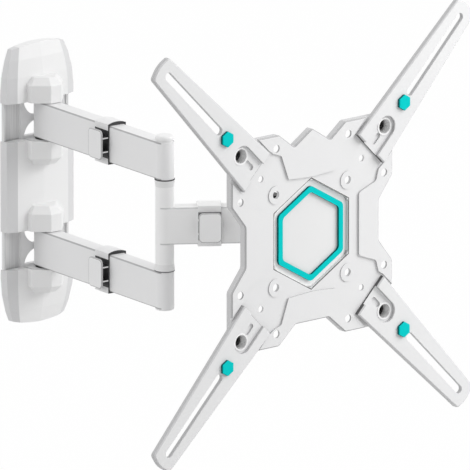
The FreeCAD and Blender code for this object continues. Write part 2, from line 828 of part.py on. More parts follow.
def tongue_loop(radius, start):
    """Outline of the pressed tongue round the arm bolt, open towards the plate's centre."""
    centre = ext_bolt_place
    edges = [Part.LineSegment(Vector(start, -radius, 0), Vector(start, radius, 0)).toShape(),
             Part.LineSegment(Vector(start, radius, 0), Vector(centre, radius, 0)).toShape(),
             Part.Arc(Vector(centre, radius, 0), Vector(centre + radius, 0, 0),
                      Vector(centre, -radius, 0)).toShape(),
             Part.LineSegment(Vector(centre, -radius, 0), Vector(start, -radius, 0)).toShape()]
    return Part.Wire(edges)


def make_extension_arm():
    front = -ext_rise
    block = facing(ext_loop(0), front, 0)
    rims = [edge for edge in block.Edges if edge.BoundBox.YMax < front + 0.01]
    block = block.makeFillet(plate_edge_round, rims)
    block = block.cut(facing(ext_loop(ext_sheet), front + ext_sheet, 0))
    lips = facing(slot_loop(ext_slot_start, ext_slot_end, ext_slot_half + ext_slot_lip), front + ext_sheet,
                  front + ext_slot_lip_depth)
    cup = facing(tongue_loop(tongue_radius + tongue_wall, ext_root), front + ext_sheet, 0)
    block = block.fuse([lips, cup])
    block = block.cut(facing(tongue_loop(tongue_radius, ext_root - 1), front, front + tongue_sink))
    block = block.cut(facing(slot_loop(ext_slot_start, ext_slot_end, ext_slot_half), front, 0))
    neck_end = ext_bolt_place - neck_gap
    block = block.cut(facing(slot_loop(neck_end - neck_length, neck_end, neck_half), front, 0))
    block = block.cut(hole_along_y(ext_plug_place, 0, plug_stem_radius + clip_play, front, 0))
    block = block.cut(hole_along_y(ext_bolt_place, 0, sleeve_radius + sleeve_play, front, 0))
    return block.removeSplitter()


def make_arm_sleeve():
    """Hollow flanged stud through tongue and plate, drawn along Y with its flange on the tongue's floor."""
    seat = tongue_sink - ext_rise
    end = seat + sleeve_depth
    flange = hole_along_y(0, 0, sleeve_flange, seat - sleeve_flange_height, seat)
    tube = hole_along_y(0, 0, sleeve_radius, seat, end)
    hollow = hole_along_y(0, 0, sleeve_bore, seat - sleeve_flange_height, end - sleeve_floor)
    stud_hole = hole_along_y(0, 0, stud_radius, end - sleeve_floor, end)
    return flange.fuse(tube).cut(hollow).cut(stud_hole).removeSplitter()


def make_arm_screw():
    """Dark low-headed screw at the bottom of the sleeve."""
    floor = tongue_sink - ext_rise + sleeve_depth - sleeve_floor
    head = hole_along_y(0, 0, stud_head, floor - stud_head_height, floor)
    stud = hole_along_y(0, 0, stud_radius, floor, floor + sleeve_floor + stud_tail)
    return head.fuse(stud).removeSplitter()


def make_arm_nut():
    """Ring nut on the sleeve behind the plate."""
    far = plate_sheet + sleeve_nut_height
    nut = facing_outline(hexagon(sleeve_nut_flats / math.sqrt(3), 0), plate_sheet, far)
    return nut.cut(hole_along_y(0, 0, sleeve_radius, plate_sheet, far))


def make_slot_plug():
    """Hexagonal plug with a softened face and a stem in its own hole before the slot."""
    face = -ext_rise - plug_height
    head = facing_outline(hexagon(plug_flats / math.sqrt(3), 1.0), face, -ext_rise)
    rims = [edge for edge in head.Edges if edge.BoundBox.YMax < face + 0.01]
    head = head.makeChamfer(plug_chamfer, rims)
    stem = hole_along_y(0, 0, plug_stem_radius, -ext_rise, ext_slot_lip_depth - ext_rise)
    return head.fuse(stem).removeSplitter()


def at_corners(shape, distance):
    """Group of four copies, one on each diagonal of the plate."""
    return Part.makeCompound([on_plate(moved(shape, Vector(x, 0, z))) for x, z in diagonal_places(distance)])


os.makedirs("parts", exist_ok=True)

# Pieces fixed to the wall
save("wall_plate", make_wall_plate())
for hinge, level in (("upper", arm_level), ("lower", -arm_level)):
    place = hinge_point + Vector(0, 0, level)
    save(hinge + "_hinge_bracket", make_hinge_bracket(level))
    save(hinge + "_hinge_bolt", moved(make_hinge_bolt(ear_outside), place))
    save(hinge + "_hinge_nut", moved(make_hinge_nut(ear_outside), place))
    save(hinge + "_hinge_washers", moved(make_washers(ear_inside), place))
top_cover = make_top_cover()
save("top_cover", top_cover)
save("middle_cover", make_middle_cover())
save("bottom_cover", flipped(top_cover))

# Long arms and what rides on them
long_arm = make_long_arm()
long_clip = make_clip(long_clip_station)
for side, level in (("upper", arm_level), ("lower", -arm_level)):
    place = hinge_point + Vector(0, 0, level)
    save(side + "_arm", swung(long_arm, -long_arm_swing, place))
    save(side + "_clip", swung(long_clip, -long_arm_swing, place))
post_end = arm_level + arm_half
save("elbow_rod", moved(rod(rod_radius, -post_end, post_end), elbow_point))
save("elbow_top_cap", moved(make_top_cap(), elbow_point + Vector(0, 0, post_end)))
save("elbow_bottom_cap", moved(make_bottom_cap(), elbow_point + Vector(0, 0, -post_end)))

# Front arm and what rides on it
save("front_arm", swung(make_front_arm(), front_arm_swing, elbow_point))
save("front_clip", swung(make_clip(front_clip_station), front_arm_swing, elbow_point))
elbow_bush = make_elbow_bush()
save("elbow_top_bush", moved(elbow_bush, elbow_point))
save("elbow_bottom_bush", moved(flipped(elbow_bush), elbow_point))

# Swivel head
save("head_bracket", moved(make_head_bracket(), head_point))
save("head_bolt", moved(make_hinge_bolt(ear_outside), head_point))
save("head_nut", moved(make_hinge_nut(ear_outside), head_point))
save("head_washers", moved(make_washers(ear_inside), head_point))
save("tilt_bolt", make_tilt_bolt())
save("tilt_nut", make_tilt_nut())

# Screen plate and what it carries
save("tilt_bracket", on_plate(make_tilt_bracket()))
save("screen_plate", on_plate(make_screen_plate()))
save("hex_panel", on_plate(make_hex_panel()))
save("accent_ring", on_plate(make_accent_ring()))
extension_arm = make_extension_arm()
arm_turns = {"upper_left": -135, "upper_right": -45, "lower_left": 135, "lower_right": 45}
for corner, turn in arm_turns.items():
    turned = extension_arm.copy()
    turned.rotate(ORIGIN, Vector(0, 1, 0), turn)
    save(corner + "_arm", on_plate(turned))
save("arm_sleeves", at_corners(make_arm_sleeve(), ext_bolt_place))
save("arm_screws", at_corners(make_arm_screw(), ext_bolt_place))
save("arm_nuts", at_corners(make_arm_nut(), ext_bolt_place))
save("slot_plugs", at_corners(make_slot_plug(), ext_plug_place))
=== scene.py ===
# %% [markdown]
# # A swivel wall mount for a screen
# The mount is a wall plate with moulded covers, two box-section arms, a shorter front arm, a tilting head
# and a cross-shaped screen plate. Its solids were drawn in CAD, so their shapes and sizes are already set.
# This lesson loads them as a fixed frame and gives each one a finish like the real product's: powder-coated
# steel, moulded plastic, plated bolts and turquoise trim. It then adds the threads and drive recesses that
# are too fine for the solids.

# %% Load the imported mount
import json
import math

import bmesh
import bpy
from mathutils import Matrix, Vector


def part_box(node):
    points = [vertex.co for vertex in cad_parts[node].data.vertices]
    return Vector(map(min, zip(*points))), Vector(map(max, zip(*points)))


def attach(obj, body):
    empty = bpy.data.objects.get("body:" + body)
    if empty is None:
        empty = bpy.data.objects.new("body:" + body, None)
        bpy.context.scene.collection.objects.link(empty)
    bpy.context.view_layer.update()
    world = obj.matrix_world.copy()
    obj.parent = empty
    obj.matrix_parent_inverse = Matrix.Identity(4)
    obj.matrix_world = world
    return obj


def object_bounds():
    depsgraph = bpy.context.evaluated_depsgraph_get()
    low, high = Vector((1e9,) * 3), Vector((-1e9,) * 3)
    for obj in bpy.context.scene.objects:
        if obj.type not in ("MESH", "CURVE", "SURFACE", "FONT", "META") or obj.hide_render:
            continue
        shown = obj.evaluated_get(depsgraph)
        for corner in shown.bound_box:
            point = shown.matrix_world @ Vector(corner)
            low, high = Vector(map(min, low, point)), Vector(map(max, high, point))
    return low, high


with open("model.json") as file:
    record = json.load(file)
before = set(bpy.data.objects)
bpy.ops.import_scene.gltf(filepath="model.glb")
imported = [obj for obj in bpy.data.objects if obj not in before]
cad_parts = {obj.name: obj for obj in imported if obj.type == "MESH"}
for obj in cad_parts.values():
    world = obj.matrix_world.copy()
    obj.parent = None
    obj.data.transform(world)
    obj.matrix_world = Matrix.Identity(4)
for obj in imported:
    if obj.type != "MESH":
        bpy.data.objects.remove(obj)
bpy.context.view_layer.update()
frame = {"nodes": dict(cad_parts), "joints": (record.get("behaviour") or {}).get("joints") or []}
nodes = frame["nodes"]

# %% [markdown]
# Shader sums are easier to read as plain expressions than as chains of nodes. This small class wraps one
# socket of a node tree. Adding, taking away and multiplying put a Math node into the tree, and `add` puts in
# any other node: its settings first, then the values or links of its sockets. The same class serves Geometry
# Nodes further down.

# %% A socket that can be reckoned with
class Socket:
    """One output of a node tree, used in sums as if it were a number."""

    def __init__(self, tree, output=None):
        self.tree = tree
        self.output = output

    def add(self, kind, settings=None, values=None, output=0):
        node = self.tree.nodes.new(kind)
        for name, value in (settings or {}).items():
            setattr(node, name, value)
        for name, value in (values or {}).items():
            if isinstance(value, Socket):
                self.tree.links.new(value.output, node.inputs[name])
            else:
                node.inputs[name].default_value = value
        return Socket(self.tree, node.outputs[output])

    def sum(self, operation, first, second):
        return self.add("ShaderNodeMath", {"operation": operation}, {0: first, 1: second})

    def __add__(self, other):
        return self.sum("ADD", self, other)

    def __sub__(self, other):
        return self.sum("SUBTRACT", self, other)

    def __mul__(self, other):
        return self.sum("MULTIPLY", self, other)

    def __truediv__(self, other):
        return self.sum("DIVIDE", self, other)

    def __rsub__(self, other):
        return self.sum("SUBTRACT", other, self)

    __radd__ = __add__
    __rmul__ = __mul__

    def size(self):
        """The number without its sign."""
        return self.sum("ABSOLUTE", self, 0.0)

    def split(self):
        """The three numbers of a vector."""
        node = self.add("ShaderNodeSeparateXYZ", None, {0: self}).output.node
        return [Socket(self.tree, output) for output in node.outputs]

    def positive(self):
        """The number, or 0 where it is negative."""
        return self.sum("MAXIMUM", self, 0.0)

    def over(self, limit):
        """1 above the limit and 0 below it."""
        return self.sum("GREATER_THAN", self, limit)

    def under(self, limit):
        """1 below the limit and 0 above it."""
        return self.sum("LESS_THAN", self, limit)

    def between(self, low, high):
        """1 between the two limits and 0 outside them."""
        return self.over(low) * self.under(high)

    def rise(self, low, high):
        """A smooth step from 0 at the first limit to 1 at the second."""
        return self.add("ShaderNodeMapRange", {"interpolation_type": "SMOOTHSTEP"},
                        {"Value": self, "From Min": low, "From Max": high})

    def blend(self, dark, light):
        """A colour that goes from dark to light as this value goes from 0 to 1."""
        return self.add("ShaderNodeMix", {"data_type": "RGBA"}, {0: self, 6: dark, 7: light}, 2)


def paint(red, green, blue):
    """A colour as it is read off a screen, 0 to 255, turned into the linear values a shader takes."""
    def linear(value):
        value = value / 255
        return value / 12.92 if value <= 0.04045 else ((value + 0.055) / 1.055) ** 2.4
    return (linear(red), linear(green), linear(blue), 1.0)


print("socket class ready, white reads as", [round(v, 3) for v in paint(240, 240, 240)])

# %% [markdown]
# Every finish here starts the same way: a Principled shader, and Object coordinates to hang patterns on. A
# CAD solid sits at the origin with its place in its mesh, so Object coordinates are metres in the mount's
# own frame. That makes a pattern's scale real: a noise of scale 900 has grains of about a millimetre.

# %% Begin a finish and close it
def begin_finish(name):
    material = bpy.data.materials.new(name)
    material.use_nodes = True
    place = Socket(material.node_tree).add("ShaderNodeTexCoord", output="Object")
    return material, place


def noise(place, scale, detail=2.0):
    return place.add("ShaderNodeTexNoise", None, {"Vector": place, "Scale": scale, "Detail": detail})


def close_finish(material, colour, roughness, height, depth, **fixed):
    """Links what varies over the surface, and sets the rest on the shader's own sockets."""
    tree = material.node_tree
    shader = tree.nodes["Principled BSDF"]
    bump = colour.add("ShaderNodeBump", None, {"Height": height, "Strength": 0.5, "Distance": depth})
    for name, socket in (("Base Color", colour), ("Roughness", roughness), ("Normal", bump)):
        tree.links.new(socket.output, shader.inputs[name])
    for name, value in fixed.items():
        shader.inputs[name.replace("_", " ")].default_value = value
    return material


print("finish helpers ready")

# %% [markdown]
# The arms, brackets and the screen plate are steel with a white powder coat. Baked powder flows out into a
# skin with a faint orange peel, here a little duller on the crests, and its white is never quite even over a
# large face. A single colour would look like paper, so one fine noise makes the peel and a slow one shifts
# the tone by a few parts in 255.

# %% White powder coat
peel_scale = 700.0
peel_depth = 0.00012
coat_gloss = 0.45
thin_white = paint(234, 234, 235)
full_white = paint(242, 242, 242)
# Painted light: a brighter white for the front arm, which lies in the screen plate's shade.
painted_light_white = paint(253, 253, 253)


def coat_colour(place, peel, thin=thin_white, full=full_white):
    cloud = noise(place, 9.0, 3.0)
    return (cloud * 0.7 + peel * 0.3).blend(thin, full)


def close_coat(material, colour, peel):
    return close_finish(material, colour, 0.36 + peel * 0.16, peel, peel_depth, Specular_IOR_Level=coat_gloss)


def powder_coat(name):
    material, place = begin_finish(name)
    peel = noise(place, peel_scale)
    return close_coat(material, coat_colour(place, peel), peel)


white_coat = powder_coat("white_powder_coat")
print("made", white_coat.name)

# %% [markdown]
# Thin grey lines run along the long corners of the box-section arms. They are painted dark reflection, as if
# the rounded corners mirrored a darker part of the room. The arms lean away from the frame's axes, so a
# Mapping node first turns the place into the arm's own axes: across it, along it, and up. A corner is then
# simply where both across and up are near their ends. The short front arm gets tones of its own: whites
# painted lighter, as painted light against the screen plate's shade on it, and fainter lines.

# %% Coat of the box-section arms
pivots = {joint["name"]: Vector(joint["pos_m"]) for joint in frame["joints"]}
long_arm_line = (pivots["wall_hinge"], pivots["elbow_hinge"])
front_arm_line = (pivots["elbow_hinge"], pivots["head_swivel"])
arm_level = 0.07
arm_half_width = 0.0097
arm_half_height = 0.02
arm_corner = 0.002
skin = 0.0001


def lean(line):
    """Angle, in degrees, by which an arm leans from straight out of the wall."""
    return math.degrees(math.atan2(line[1].x - line[0].x, line[0].y - line[1].y))


def arm_axes(place, line, level):
    """Place across an arm, along it from its first pivot, and up from its middle, as three sockets."""
    turn = (0.0, 0.0, math.radians(lean(line)))
    turned = place.add("ShaderNodeMapping", {"vector_type": "TEXTURE"},
                       {"Vector": place, "Location": line[0], "Rotation": turn})
    across, along, height = turned.split()
    return across, along, height.size() - level


def arm_coat(name, line, level, whites, corner):
    material, place = begin_finish(name)
    peel = noise(place, peel_scale)
    across, _, up = arm_axes(place, line, level)
    # Painted dark reflection: the corners take the given grey.
    beside = across.size().rise(arm_half_width - arm_corner, arm_half_width - 0.4 * arm_corner)
    above = up.size().rise(arm_half_height - arm_corner, arm_half_height - 0.4 * arm_corner)
    above = above * up.between(-arm_half_height - skin, arm_half_height + skin)
    colour = (beside * above).blend(coat_colour(place, peel, *whites), corner)
    return close_coat(material, colour, peel)


long_arm_whites = (thin_white, full_white)
# The front arm's whites are painted light, against the screen plate's shade on it.
front_arm_painted_light_whites = (full_white, painted_light_white)
# Both corner greys are painted dark reflection, fainter on the front arm.
long_arm_coat = arm_coat("long_arm_coat", long_arm_line, arm_level, long_arm_whites, paint(176, 176, 177))
front_arm_coat = arm_coat("front_arm_coat", front_arm_line, 0.0, front_arm_painted_light_whites, paint(206, 206, 207))
print("long arms lean", round(lean(long_arm_line), 1), "front arm", round(lean(front_arm_line), 1))

# %% [markdown]
# The screen plate and its four extension arms are pressed sheet. The walls of the presses and the cut edges
# are painted greyer than the flat faces, as painted shade. Each press has its flat faces at a few known
# depths, so whatever lies between those depths is a wall. That needs no list of edges, and it finds the walls
# of holes as well. Two places are painted on top, as the photograph shows them: a dark line of painted shade
# round the mouth of the hexagonal well, with the walls below it painted white as painted light, and painted
# shadow on the cut inner ends of the extension arms.

# %% Coat of the pressed sheet
plate_low, plate_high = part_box("screen_plate")
plate_middle = (plate_low + plate_high) / 2
plate_rim = 0.002
plate_field = plate_low.y + plate_rim
to_millimetres = 1000.0
face_tolerance = 0.07
fold_blend = 0.6


def pressed_coat(name, face_depths, fold_end, fold_shade, wall, painted_light_and_shade):
    """Coat of a press whose flat faces lie at the given depths, in mm behind the plate's lower field."""
    material, place = begin_finish(name)
    peel = noise(place, peel_scale)
    x, depth, z = place.split()
    depth = (depth - plate_field) * to_millimetres
    walls = 1.0
    for face in face_depths:
        walls = walls * (depth - face).size().over(face_tolerance)
    # Painted shade: the walls, and the fold at the rim, take greyer tones.
    wall_shade_colour = depth.rise(fold_end - fold_blend, fold_end).blend(fold_shade, wall)
    colour = walls.blend(coat_colour(place, peel), wall_shade_colour)
    beside = ((x - plate_middle.x) * to_millimetres).size()
    above = ((z - plate_middle.z) * to_millimetres).size()
    colour = painted_light_and_shade(colour, beside, above, depth)
    return close_coat(material, colour, peel)


cosine_60, sine_60 = 0.5, 0.866


def hexagon_size(beside, above):
    """Distance from a hexagon's middle to its upright or slanted sides, whichever is larger."""
    slant = beside * cosine_60 + above * sine_60
    return beside.sum("MAXIMUM", beside, slant)


well_wall = (51.5, 52.6)
well_shade_line_depth = (-0.1, 0.9)
well_lit_wall_depth = (0.9, 4.6)
root_end = (100.0, 112.2)
root_end_depth = (-4.2, -0.1)
sine_45 = 0.7071


def well_light_and_shade(colour, beside, above, depth):
    """The hexagonal well: walls painted white as painted light, under a line of painted shade round the
    mouth.
    """
    hexagon = hexagon_size(beside, above).between(*well_wall)
    colour = (hexagon * depth.between(*well_lit_wall_depth)).blend(colour, paint(254, 254, 254))
    return (hexagon * depth.between(*well_shade_line_depth)).blend(colour, paint(88, 87, 86))


def root_end_shadow(colour, beside, above, depth):
    """Painted shadow on the cut inner end of an extension arm, which lies across the plate's diagonal."""
    along = (beside + above) * sine_45
    return (along.between(*root_end) * depth.between(*root_end_depth)).blend(colour, paint(84, 84, 85))


plate_faces = (-2.0, -1.0, 0.0, 0.4, 2.4, 4.7, 6.5, 7.1)
extension_faces = (-6.0, -4.0, -2.0, -1.0, 0.0)
# Each press gets two greys of painted shade, for its rim fold and for its walls.
plate_coat = pressed_coat("plate_coat", plate_faces, 0.4,
                          paint(180, 180, 181), paint(206, 206, 207), well_light_and_shade)
extension_coat = pressed_coat("extension_coat", extension_faces, -4.4,
                              paint(216, 216, 217), paint(190, 190, 191), root_end_shadow)
print("made", plate_coat.name, extension_coat.name)

# %% [markdown]
# From the front, the wall plate shows only through the windows in the covers. Its coat is painted greyer than
# the covers, as painted shade inside the windows, and it carries fine upright streaks of its own. Squeezing
# the Z coordinate stretches an even noise into streaks.

# %% Streaked coat of the wall plate
def streaked_coat(name, deep, pale):
    material, place = begin_finish(name)
    stretched = place.add("ShaderNodeMapping", None, {"Vector": place, "Scale": (1.0, 1.0, 0.02)})
    streak = noise(stretched, 420.0, 4.0)
    peel = noise(place, peel_scale)
    colour = streak.rise(0.3, 0.7).blend(deep, pale)
    roughness = 0.3 + streak * 0.2
    height = streak + peel * 0.4
    return close_finish(material, colour, roughness, height, peel_depth, Specular_IOR_Level=0.5)


# Both greys are painted shade for the plate inside the windows; the streaks are its own.
wall_coat = streaked_coat("streaked_wall_coat", paint(205, 205, 206), paint(232, 232, 232))
print("made", wall_coat.name)

# %% [markdown]
# The covers, caps and bushes are taken to be injection-moulded plastic. The faces of such moulds are often
# spark-eroded, which leaves a fine matt grain of rounded pits. Voronoi cells give such pits, finer and more
# regular than the peel of a coat.

# %% White moulded plastic
grain_scale = 1500.0
grain_depth = 0.00006
plastic_gloss = 0.5
plastic_whites = (paint(236, 236, 236), paint(243, 243, 243))


def moulded_grain(place):
    return place.add("ShaderNodeTexVoronoi", {"feature": "SMOOTH_F1"},
                     {"Vector": place, "Scale": grain_scale})


def moulded_cloud(place):
    return noise(place, 14.0, 3.0)


def close_plastic(material, colour, grain, smoothest=0.34):
    roughness = smoothest + grain * 0.14
    return close_finish(material, colour, roughness, grain, grain_depth, Specular_IOR_Level=plastic_gloss)


def moulded_plastic(name, deep, pale):
    material, place = begin_finish(name)
    grain = moulded_grain(place)
    colour = (moulded_cloud(place) * 0.75 + grain * 0.25).blend(deep, pale)
    return close_plastic(material, colour, grain)


white_plastic = moulded_plastic("white_moulded_plastic", *plastic_whites)
print("made", white_plastic.name)

# %% [markdown]
# The covers are the same plastic. Their chamfered sides look a shade greyer and are painted so: whether that
# is their texture or only shade can't be told from one picture. Their chamfered sides are painted a shade
# greyer, as painted shade. The chamfer starts at a fixed distance from the middle, and closer to it where
# the covers narrow towards their ends.

# %% Cover plastic with painted shade on the chamfers
cover_low, cover_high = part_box("middle_cover")
cover_middle = (cover_low.x + cover_high.x) / 2
cover_half_width = (cover_high.x - cover_low.x) / 2
chamfer_width = 0.0115
chamfer_blend = 0.0003
cover_straight = 0.1
cover_end_length = 0.0525
cover_narrowing = 0.0079


def cover_plastic(name):
    material, place = begin_finish(name)
    grain = moulded_grain(place)
    x, _, z = place.split()
    past = (z.size() - cover_straight).positive() / cover_end_length
    edge = (cover_half_width - chamfer_width) - past * past * cover_narrowing
    chamfer = ((x - cover_middle).size() - edge).rise(-chamfer_blend, chamfer_blend)
    # Painted shade: the chamfered sides take a greyer tone.
    colour = chamfer.blend(moulded_cloud(place).blend(*plastic_whites), paint(219, 219, 220))
    return close_plastic(material, colour, grain)


cover_white = cover_plastic("cover_plastic")
print("made", cover_white.name, "covers are", round(2000 * cover_half_width, 1), "mm wide")

# %% [markdown]
# The hexagonal centre panel is the same plastic. The gutter outside the turquoise ring is painted whiter than
# the rest, as painted light against the shade of the well, and made a little smoother. The hexagon measure
# of the well serves here again, in metres.

# %% Panel plastic with a gutter painted light
ring_low, ring_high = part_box("accent_ring")
ring_half = (ring_high.x - ring_low.x) / 2
under_ring = 0.002


def panel_plastic(name):
    material, place = begin_finish(name)
    grain = moulded_grain(place)
    x, _, z = place.split()
    hexagon = hexagon_size((x - plate_middle.x).size(), (z - plate_middle.z).size())
    inside = hexagon.under(ring_half - under_ring)
    # Painted light: the gutter outside the ring is set a brighter white.
    colour = inside.blend(paint(254, 254, 254), moulded_cloud(place).blend(*plastic_whites))
    roughness = 0.26 + inside * (0.08 + grain * 0.14)
    height = grain * inside
    return close_finish(material, colour, roughness, height, grain_depth, Specular_IOR_Level=plastic_gloss)


panel_white = panel_plastic("panel_plastic")
print("made", panel_white.name, "ring is", round(2000 * ring_half, 1), "mm across its flats")

# %% [markdown]
# A cable clip is a white band with a flap. The channel behind the flap and the band's open end are painted
# dark, as painted shade, darker on the long arms' clips than on the front one. In the arm's axes both places
# are plain ranges. The rounded rim of the flap is painted a shade greyer, as painted shade round its
# outline.

# %% Clip plastic with painted shade in the channel
clip_half_length = 0.01225
band_side = -0.0114
band_far_side = 0.02
flap_back = -0.0184
flap_front = -0.0202
flap_half_height = 0.016
flap_corner = 0.005
flap_rim_shade_width = 0.0011
channel_shade_half_height = 0.0152


def clip_plastic(name, line, level, station, whites, channel_shade):
    material, place = begin_finish(name)
    across, along, up = arm_axes(place, line, level)
    along = along + station
    channel = across.between(flap_back + skin / 2, band_side + skin / 2)
    channel = channel * along.size().under(clip_half_length - skin)
    channel = channel * up.size().under(channel_shade_half_height)
    band_end = across.between(band_side - skin, band_far_side) * along.under(skin - clip_half_length)
    past_length = (along.size() - (clip_half_length - flap_corner)).positive()
    past_height = (up.size() - (flap_half_height - flap_corner)).positive()
    reach = past_length * past_length + past_height * past_height
    flap_rim_shade = reach.over((flap_corner - flap_rim_shade_width) ** 2)
    flap_rim_shade = flap_rim_shade * across.between(flap_front - skin, flap_back + skin / 2)
    # Painted shade: a greyer rim round the flap, and dark in the channel and at the band's open end.
    shell = flap_rim_shade.blend(moulded_cloud(place).blend(*whites), paint(190, 190, 191))
    colour = (channel + band_end).blend(shell, channel_shade)
    return close_plastic(material, colour, moulded_grain(place), 0.36)


# The channel shade is darker on the long arms' clips; the front clip also takes the front arm's painted light
# whites.
long_clip_station, front_clip_station = 0.1225, 0.0465
long_clip_plastic = clip_plastic("long_clip_plastic", long_arm_line, arm_level, long_clip_station,
                                 long_arm_whites, paint(46, 46, 48))
front_clip_plastic = clip_plastic("front_clip_plastic", front_arm_line, 0.0, front_clip_station,
                                  front_arm_painted_light_whites, paint(120, 120, 121))
print("made", long_clip_plastic.name, front_clip_plastic.name)

# %% [markdown]
# The two bushes at the elbow are the same plastic. A fine dark line of painted shade runs round the post
# where a bush meets the long arm's knuckle, as a thin band on the end of the bush.

# %% Bush plastic with a painted seam shadow
def bush_plastic(name, shadow_height):
    material, place = begin_finish(name)
    grain = moulded_grain(place)
    up = place.split()[2]
    outer_end = max(abs(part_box("elbow_top_bush")[1].z), abs(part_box("elbow_bottom_bush")[0].z))
    # Painted shadow: a dark band at the outer end of each bush.
    ring = up.size().rise(outer_end - shadow_height, outer_end - 0.8 * shadow_height)
    shell = moulded_cloud(place).blend(paint(228, 228, 228), paint(238, 238, 238))
    colour = ring.blend(shell, paint(70, 70, 72))
    return close_plastic(material, colour, grain, 0.36)


seam_shadow_height = 0.0009
seam_shadow_bush = bush_plastic("bush_with_seam_shadow", seam_shadow_height)
print("made", seam_shadow_bush.name)

# %% [markdown]
# The ring round the centre panel and the four slot plugs are turquoise plastic. Their faces are bright, and
# their side walls, which stand in the well or against the arms, are painted a deep teal as painted shade. The
# walls lie behind the front face, so a smooth step on the depth (Y) changes one colour into the other.

# %% Turquoise plastic
fine_depth = 0.00005


def turquoise(name, front, wall_depth):
    material, place = begin_finish(name)
    depth = place.split()[1]
    # Painted shade: the side walls turn a deep teal.
    wall = depth.rise(front + 0.25 * wall_depth, front + wall_depth)
    grain = moulded_grain(place)
    face = noise(place, 40.0).blend(paint(0, 205, 203), paint(3, 215, 213))
    colour = wall.blend(face, paint(0, 96, 99))
    return close_finish(material, colour, 0.46 + grain * 0.12, grain, fine_depth, Specular_IOR_Level=0.06)


ring_wall_depth, plug_wall_depth = 0.0005, 0.001
ring_plastic = turquoise("turquoise_ring", ring_low.y, ring_wall_depth)
plug_plastic = turquoise("turquoise_plug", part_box("slot_plugs")[0].y, plug_wall_depth)
print("made", ring_plastic.name, plug_plastic.name, "ring front face at y =", round(ring_low.y, 4))

# %% [markdown]
# The four plate screws are black, in bright sleeves. Hardly any other fastener shows, so the rest have what
# such mounts have: bolts and nuts of zinc-plated or black steel, and washers of black nylon. Plating and
# oxide are both a little blotchy, so the metals share one recipe: a coarse noise for the blotches and a fine
# one for the marks of the tool.

# %% Fastener metals and nylon
def metal(name, deep, pale, rough, metallic):
    material, place = begin_finish(name)
    blotch = noise(place, 260.0, 4.0)
    marks = noise(place, 1400.0)
    colour = blotch.blend(deep, pale)
    return close_finish(material, colour, rough + blotch * 0.15, marks, fine_depth, Metallic=metallic)


zinc = metal("zinc_plate", paint(176, 178, 180), paint(206, 207, 208), 0.26, 1.0)
black_oxide = metal("black_oxide", paint(14, 14, 15), paint(30, 30, 31), 0.34, 0.4)
bright_steel = metal("bright_steel", paint(250, 250, 250), paint(253, 253, 253), 0.3, 0.1)
black_nylon = moulded_plastic("black_nylon", paint(22, 22, 23), paint(34, 34, 35))
print("made", zinc.name, black_oxide.name, bright_steel.name, black_nylon.name)

# %% [markdown]
# Each CAD solid keeps its own mesh and only changes its material. A table from finish to the solids that
# wear it shows at a glance that none was forgotten, and the loop stops if one was.

# %% Dress the solids
finishes = {
    "white_powder_coat": ["upper_hinge_bracket", "lower_hinge_bracket", "head_bracket", "tilt_bracket"],
    "plate_coat": ["screen_plate"],
    "extension_coat": ["upper_left_arm", "upper_right_arm", "lower_left_arm", "lower_right_arm"],
    "long_arm_coat": ["upper_arm", "lower_arm"],
    "front_arm_coat": ["front_arm"],
    "streaked_wall_coat": ["wall_plate"],
    "cover_plastic": ["top_cover", "middle_cover", "bottom_cover"],
    "white_moulded_plastic": ["elbow_top_cap", "elbow_bottom_cap"],
    "panel_plastic": ["hex_panel"],
    "bush_with_seam_shadow": ["elbow_top_bush", "elbow_bottom_bush"],
    "long_clip_plastic": ["upper_clip", "lower_clip"],
    "front_clip_plastic": ["front_clip"],
    "turquoise_ring": ["accent_ring"],
    "turquoise_plug": ["slot_plugs"],
    "zinc_plate": ["upper_hinge_bolt", "lower_hinge_bolt", "upper_hinge_nut", "lower_hinge_nut", "elbow_rod",
                   "tilt_bolt", "tilt_nut", "arm_nuts"],
    "black_oxide": ["arm_screws", "head_bolt", "head_nut"],
    "bright_steel": ["arm_sleeves"],
    "black_nylon": ["upper_hinge_washers", "lower_hinge_washers", "head_washers"],
}
for finish, names in finishes.items():
    for name in names:
        nodes[name].data.materials.clear()
        nodes[name].data.materials.append(bpy.data.materials[finish])
undressed = set(nodes) - {name for names in finishes.values() for name in names}
assert not undressed, undressed
print("dressed", len(nodes), "solids in", len(finishes), "finishes")

# %% [markdown]
# A thread is one ridge wound along a bolt, and the mount has it on the tails of its hinge, head, tilt and
# plate screws. It could be modelled once and copied by hand, but a Geometry Nodes tree needs only a point
# and a direction for each bolt: a spiral curve gets a three-sided profile, stands on every point, and turns
# to the direction stored there.

# %% The thread tree
def new_tree(name, inputs):
    """An empty geometry tree with named inputs, as (tree, starting socket, {input name: socket})."""
    tree = bpy.data.node_groups.new(name, "GeometryNodeTree")
    tree.interface.new_socket("Geometry", in_out="OUTPUT", socket_type="NodeSocketGeometry")
    tree.interface.new_socket("Places", in_out="INPUT", socket_type="NodeSocketGeometry")
    for label, kind in inputs.items():
        tree.interface.new_socket(label, in_out="INPUT", socket_type=kind)
    entry = tree.nodes.new("NodeGroupInput")
    return tree, Socket(tree), {socket.name: Socket(tree, socket) for socket in entry.outputs if socket.name}


def close_tree(tree, places, shape, coat):
    """Stands the shape on every place along its stored direction, and ends the tree."""
    start = Socket(tree)
    axis = start.add("GeometryNodeInputNamedAttribute", {"data_type": "FLOAT_VECTOR"}, {"Name": "axis"})
    turn = start.add("FunctionNodeAlignRotationToVector", {"axis": "Z"}, {"Vector": axis})
    stood = start.add("GeometryNodeInstanceOnPoints", None,
                      {"Points": places, "Instance": shape, "Rotation": turn})
    real = start.add("GeometryNodeRealizeInstances", None, {"Geometry": stood})
    coated = start.add("GeometryNodeSetMaterial", None, {"Geometry": real, "Material": coat})
    exit_node = tree.nodes.new("NodeGroupOutput")
    tree.links.new(coated.output, exit_node.inputs[0])


